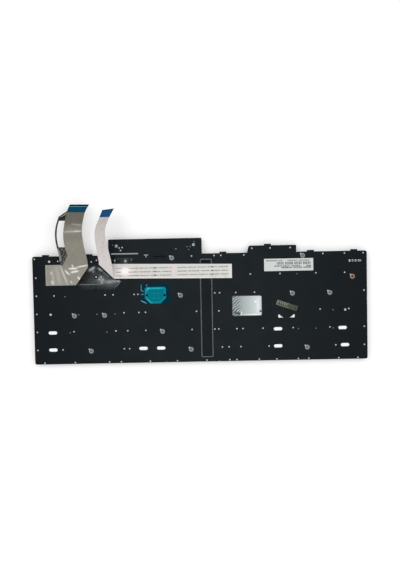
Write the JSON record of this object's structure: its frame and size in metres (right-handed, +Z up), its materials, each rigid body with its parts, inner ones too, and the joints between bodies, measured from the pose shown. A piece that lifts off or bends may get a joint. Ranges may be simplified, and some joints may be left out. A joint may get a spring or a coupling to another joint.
{
  "type": "laptop keyboard",
  "caption": "Replacement laptop keyboard lying face down: black steel back with folded ribbon cables, labels and screw inserts, sprung keys in a moulded frame and a pointing stick.",
  "frame": {"origin": "centre of the plate's bounding rectangle, on the plane of the keycap tops that it lies on", "axes": "+X along the key rows, +Y from the space bar's edge to the function row's edge, +Z up, from the keys to the back"},
  "size_m": [0.3496, 0.1663, 0.0228],
  "materials": {
    "plate_paint": "satin black paint on steel",
    "frame_plastic": "fine matte black",
    "key_plastic": "fine matte black",
    "membrane_film": "translucent film",
    "white_sheet": "white sheet",
    "dome_rubber": "soft silicone",
    "insert_steel": "bare steel",
    "insert_brass": "dull brass",
    "sensor_board": "circuit board",
    "stick_rubber": "soft rubber",
    "module_steel": "bright pressed steel",
    "label_paper": "coated label",
    "sticker_paper": "coated label",
    "teal_film": "glossy film",
    "black_film": "satin film",
    "clear_tape": "clear tape",
    "grey_ribbon": "silver-grey shield film",
    "blue_stiffener": "blue film",
    "black_ribbon": "black film",
    "white_ribbon": "white flat cable"
  },
  "bodies": {
    "base": {"back_plate": "plate_paint", "backlight_ribbon": "white_ribbon", "backlight_ribbon_stiffener": "blue_stiffener", "brass_insert": "insert_brass", "clear_tape": "clear_tape", "cover_film": "teal_film", "date_sticker": "sticker_paper", "key_frame": "frame_plastic", "keyboard_ribbon": "grey_ribbon", "keyboard_ribbon_stiffener": "blue_stiffener", "letter_and_function_keys": "key_plastic", "light_guide": "white_sheet", "rating_label": "label_paper", "ribbon_side_strip": "black_ribbon", "rubber_domes": "dome_rubber", "screw_inserts": "insert_steel", "spine_film": "black_film", "stick_cap": "stick_rubber", "stick_module_plate": "module_steel", "stick_sensor": "sensor_board", "switch_membrane": "membrane_film"},
    "backslash_key": {"backslash_key": "key_plastic"},
    "backspace_key": {"backspace_key": "key_plastic"},
    "caps_lock_key": {"caps_lock_key": "key_plastic"},
    "down_key": {"down_key": "key_plastic"},
    "enter_key": {"enter_key": "key_plastic"},
    "fn_key": {"fn_key": "key_plastic"},
    "left_alt_key": {"left_alt_key": "key_plastic"},
    "left_control_key": {"left_control_key": "key_plastic"},
    "left_key": {"left_key": "key_plastic"},
    "left_shift_key": {"left_shift_key": "key_plastic"},
    "pad_0_key": {"pad_0_key": "key_plastic"},
    "pad_1_key": {"pad_1_key": "key_plastic"},
    "pad_2_key": {"pad_2_key": "key_plastic"},
    "pad_3_key": {"pad_3_key": "key_plastic"},
    "pad_4_key": {"pad_4_key": "key_plastic"},
    "pad_5_key": {"pad_5_key": "key_plastic"},
    "pad_6_key": {"pad_6_key": "key_plastic"},
    "pad_7_key": {"pad_7_key": "key_plastic"},
    "pad_8_key": {"pad_8_key": "key_plastic"},
    "pad_9_key": {"pad_9_key": "key_plastic"},
    "pad_divide_key": {"pad_divide_key": "key_plastic"},
    "pad_dot_key": {"pad_dot_key": "key_plastic"},
    "pad_enter_key": {"pad_enter_key": "key_plastic"},
    "pad_lock_key": {"pad_lock_key": "key_plastic"},
    "pad_minus_key": {"pad_minus_key": "key_plastic"},
    "pad_multiply_key": {"pad_multiply_key": "key_plastic"},
    "pad_plus_key": {"pad_plus_key": "key_plastic"},
    "page_down_key": {"page_down_key": "key_plastic"},
    "page_up_key": {"page_up_key": "key_plastic"},
    "print_screen_key": {"print_screen_key": "key_plastic"},
    "right_alt_key": {"right_alt_key": "key_plastic"},
    "right_control_key": {"right_control_key": "key_plastic"},
    "right_key": {"right_key": "key_plastic"},
    "right_shift_key": {"right_shift_key": "key_plastic"},
    "space_bar": {"space_bar": "key_plastic"},
    "system_key": {"system_key": "key_plastic"},
    "tab_key": {"tab_key": "key_plastic"},
    "up_key": {"up_key": "key_plastic"}
  },
  "joints": [
    {"name": "backslash_key_press", "type": "slide", "parent": "base", "child": "backslash_key", "axis": [0, 0, 1], "range_m": [0, 0.0017], "stiffness_N_per_m": 250, "springref_m": -0.001, "deforming": ["rubber_domes"]},
    {"name": "backspace_key_press", "type": "slide", "parent": "base", "child": "backspace_key", "axis": [0, 0, 1], "range_m": [0, 0.0017], "stiffness_N_per_m": 250, "springref_m": -0.001, "deforming": ["rubber_domes"]},
    {"name": "caps_lock_key_press", "type": "slide", "parent": "base", "child": "caps_lock_key", "axis": [0, 0, 1], "range_m": [0, 0.0017], "stiffness_N_per_m": 250, "springref_m": -0.001, "deforming": ["rubber_domes"]},
    {"name": "down_key_press", "type": "slide", "parent": "base", "child": "down_key", "axis": [0, 0, 1], "range_m": [0, 0.0017], "stiffness_N_per_m": 250, "springref_m": -0.001, "deforming": ["rubber_domes"]},
    {"name": "enter_key_press", "type": "slide", "parent": "base", "child": "enter_key", "axis": [0, 0, 1], "range_m": [0, 0.0017], "stiffness_N_per_m": 250, "springref_m": -0.001, "deforming": ["rubber_domes"]},
    {"name": "fn_key_press", "type": "slide", "parent": "base", "child": "fn_key", "axis": [0, 0, 1], "range_m": [0, 0.0017], "stiffness_N_per_m": 250, "springref_m": -0.001, "deforming": ["rubber_domes"]},
    {"name": "left_alt_key_press", "type": "slide", "parent": "base", "child": "left_alt_key", "axis": [0, 0, 1], "range_m": [0, 0.0017], "stiffness_N_per_m": 250, "springref_m": -0.001, "deforming": ["rubber_domes"]},
    {"name": "left_control_key_press", "type": "slide", "parent": "base", "child": "left_control_key", "axis": [0, 0, 1], "range_m": [0, 0.0017], "stiffness_N_per_m": 250, "springref_m": -0.001, "deforming": ["rubber_domes"]},
    {"name": "left_key_press", "type": "slide", "parent": "base", "child": "left_key", "axis": [0, 0, 1], "range_m": [0, 0.0017], "stiffness_N_per_m": 250, "springref_m": -0.001, "deforming": ["rubber_domes"]},
    {"name": "left_shift_key_press", "type": "slide", "parent": "base", "child": "left_shift_key", "axis": [0, 0, 1], "range_m": [0, 0.0017], "stiffness_N_per_m": 250, "springref_m": -0.001, "deforming": ["rubber_domes"]},
    {"name": "pad_0_key_press", "type": "slide", "parent": "base", "child": "pad_0_key", "axis": [0, 0, 1], "range_m": [0, 0.0017], "stiffness_N_per_m": 250, "springref_m": -0.001, "deforming": ["rubber_domes"]},
    {"name": "pad_1_key_press", "type": "slide", "parent": "base", "child": "pad_1_key", "axis": [0, 0, 1], "range_m": [0, 0.0017], "stiffness_N_per_m": 250, "springref_m": -0.001, "deforming": ["rubber_domes"]},
    {"name": "pad_2_key_press", "type": "slide", "parent": "base", "child": "pad_2_key", "axis": [0, 0, 1], "range_m": [0, 0.0017], "stiffness_N_per_m": 250, "springref_m": -0.001, "deforming": ["rubber_domes"]},
    {"name": "pad_3_key_press", "type": "slide", "parent": "base", "child": "pad_3_key", "axis": [0, 0, 1], "range_m": [0, 0.0017], "stiffness_N_per_m": 250, "springref_m": -0.001, "deforming": ["rubber_domes"]},
    {"name": "pad_4_key_press", "type": "slide", "parent": "base", "child": "pad_4_key", "axis": [0, 0, 1], "range_m": [0, 0.0017], "stiffness_N_per_m": 250, "springref_m": -0.001, "deforming": ["rubber_domes"]},
    {"name": "pad_5_key_press", "type": "slide", "parent": "base", "child": "pad_5_key", "axis": [0, 0, 1], "range_m": [0, 0.0017], "stiffness_N_per_m": 250, "springref_m": -0.001, "deforming": ["rubber_domes"]},
    {"name": "pad_6_key_press", "type": "slide", "parent": "base", "child": "pad_6_key", "axis": [0, 0, 1], "range_m": [0, 0.0017], "stiffness_N_per_m": 250, "springref_m": -0.001, "deforming": ["rubber_domes"]},
    {"name": "pad_7_key_press", "type": "slide", "parent": "base", "child": "pad_7_key", "axis": [0, 0, 1], "range_m": [0, 0.0017], "stiffness_N_per_m": 250, "springref_m": -0.001, "deforming": ["rubber_domes"]},
    {"name": "pad_8_key_press", "type": "slide", "parent": "base", "child": "pad_8_key", "axis": [0, 0, 1], "range_m": [0, 0.0017], "stiffness_N_per_m": 250, "springref_m": -0.001, "deforming": ["rubber_domes"]},
    {"name": "pad_9_key_press", "type": "slide", "parent": "base", "child": "pad_9_key", "axis": [0, 0, 1], "range_m": [0, 0.0017], "stiffness_N_per_m": 250, "springref_m": -0.001, "deforming": ["rubber_domes"]},
    {"name": "pad_divide_key_press", "type": "slide", "parent": "base", "child": "pad_divide_key", "axis": [0, 0, 1], "range_m": [0, 0.0017], "stiffness_N_per_m": 250, "springref_m": -0.001, "deforming": ["rubber_domes"]},
    {"name": "pad_dot_key_press", "type": "slide", "parent": "base", "child": "pad_dot_key", "axis": [0, 0, 1], "range_m": [0, 0.0017], "stiffness_N_per_m": 250, "springref_m": -0.001, "deforming": ["rubber_domes"]},
    {"name": "pad_enter_key_press", "type": "slide", "parent": "base", "child": "pad_enter_key", "axis": [0, 0, 1], "range_m": [0, 0.0017], "stiffness_N_per_m": 250, "springref_m": -0.001, "deforming": ["rubber_domes"]},
    {"name": "pad_lock_key_press", "type": "slide", "parent": "base", "child": "pad_lock_key", "axis": [0, 0, 1], "range_m": [0, 0.0017], "stiffness_N_per_m": 250, "springref_m": -0.001, "deforming": ["rubber_domes"]},
    {"name": "pad_minus_key_press", "type": "slide", "parent": "base", "child": "pad_minus_key", "axis": [0, 0, 1], "range_m": [0, 0.0017], "stiffness_N_per_m": 250, "springref_m": -0.001, "deforming": ["rubber_domes"]},
    {"name": "pad_multiply_key_press", "type": "slide", "parent": "base", "child": "pad_multiply_key", "axis": [0, 0, 1], "range_m": [0, 0.0017], "stiffness_N_per_m": 250, "springref_m": -0.001, "deforming": ["rubber_domes"]},
    {"name": "pad_plus_key_press", "type": "slide", "parent": "base", "child": "pad_plus_key", "axis": [0, 0, 1], "range_m": [0, 0.0017], "stiffness_N_per_m": 250, "springref_m": -0.001, "deforming": ["rubber_domes"]},
    {"name": "page_down_key_press", "type": "slide", "parent": "base", "child": "page_down_key", "axis": [0, 0, 1], "range_m": [0, 0.0017], "stiffness_N_per_m": 250, "springref_m": -0.001, "deforming": ["rubber_domes"]},
    {"name": "page_up_key_press", "type": "slide", "parent": "base", "child": "page_up_key", "axis": [0, 0, 1], "range_m": [0, 0.0017], "stiffness_N_per_m": 250, "springref_m": -0.001, "deforming": ["rubber_domes"]},
    {"name": "print_screen_key_press", "type": "slide", "parent": "base", "child": "print_screen_key", "axis": [0, 0, 1], "range_m": [0, 0.0017], "stiffness_N_per_m": 250, "springref_m": -0.001, "deforming": ["rubber_domes"]},
    {"name": "right_alt_key_press", "type": "slide", "parent": "base", "child": "right_alt_key", "axis": [0, 0, 1], "range_m": [0, 0.0017], "stiffness_N_per_m": 250, "springref_m": -0.001, "deforming": ["rubber_domes"]},
    {"name": "right_control_key_press", "type": "slide", "parent": "base", "child": "right_control_key", "axis": [0, 0, 1], "range_m": [0, 0.0017], "stiffness_N_per_m": 250, "springref_m": -0.001, "deforming": ["rubber_domes"]},
    {"name": "right_key_press", "type": "slide", "parent": "base", "child": "right_key", "axis": [0, 0, 1], "range_m": [0, 0.0017], "stiffness_N_per_m": 250, "springref_m": -0.001, "deforming": ["rubber_domes"]},
    {"name": "right_shift_key_press", "type": "slide", "parent": "base", "child": "right_shift_key", "axis": [0, 0, 1], "range_m": [0, 0.0017], "stiffness_N_per_m": 250, "springref_m": -0.001, "deforming": ["rubber_domes"]},
    {"name": "space_bar_press", "type": "slide", "parent": "base", "child": "space_bar", "axis": [0, 0, 1], "range_m": [0, 0.0017], "stiffness_N_per_m": 250, "springref_m": -0.001, "deforming": ["rubber_domes"]},
    {"name": "system_key_press", "type": "slide", "parent": "base", "child": "system_key", "axis": [0, 0, 1], "range_m": [0, 0.0017], "stiffness_N_per_m": 250, "springref_m": -0.001, "deforming": ["rubber_domes"]},
    {"name": "tab_key_press", "type": "slide", "parent": "base", "child": "tab_key", "axis": [0, 0, 1], "range_m": [0, 0.0017], "stiffness_N_per_m": 250, "springref_m": -0.001, "deforming": ["rubber_domes"]},
    {"name": "up_key_press", "type": "slide", "parent": "base", "child": "up_key", "axis": [0, 0, 1], "range_m": [0, 0.0017], "stiffness_N_per_m": 250, "springref_m": -0.001, "deforming": ["rubber_domes"]}
  ]
}
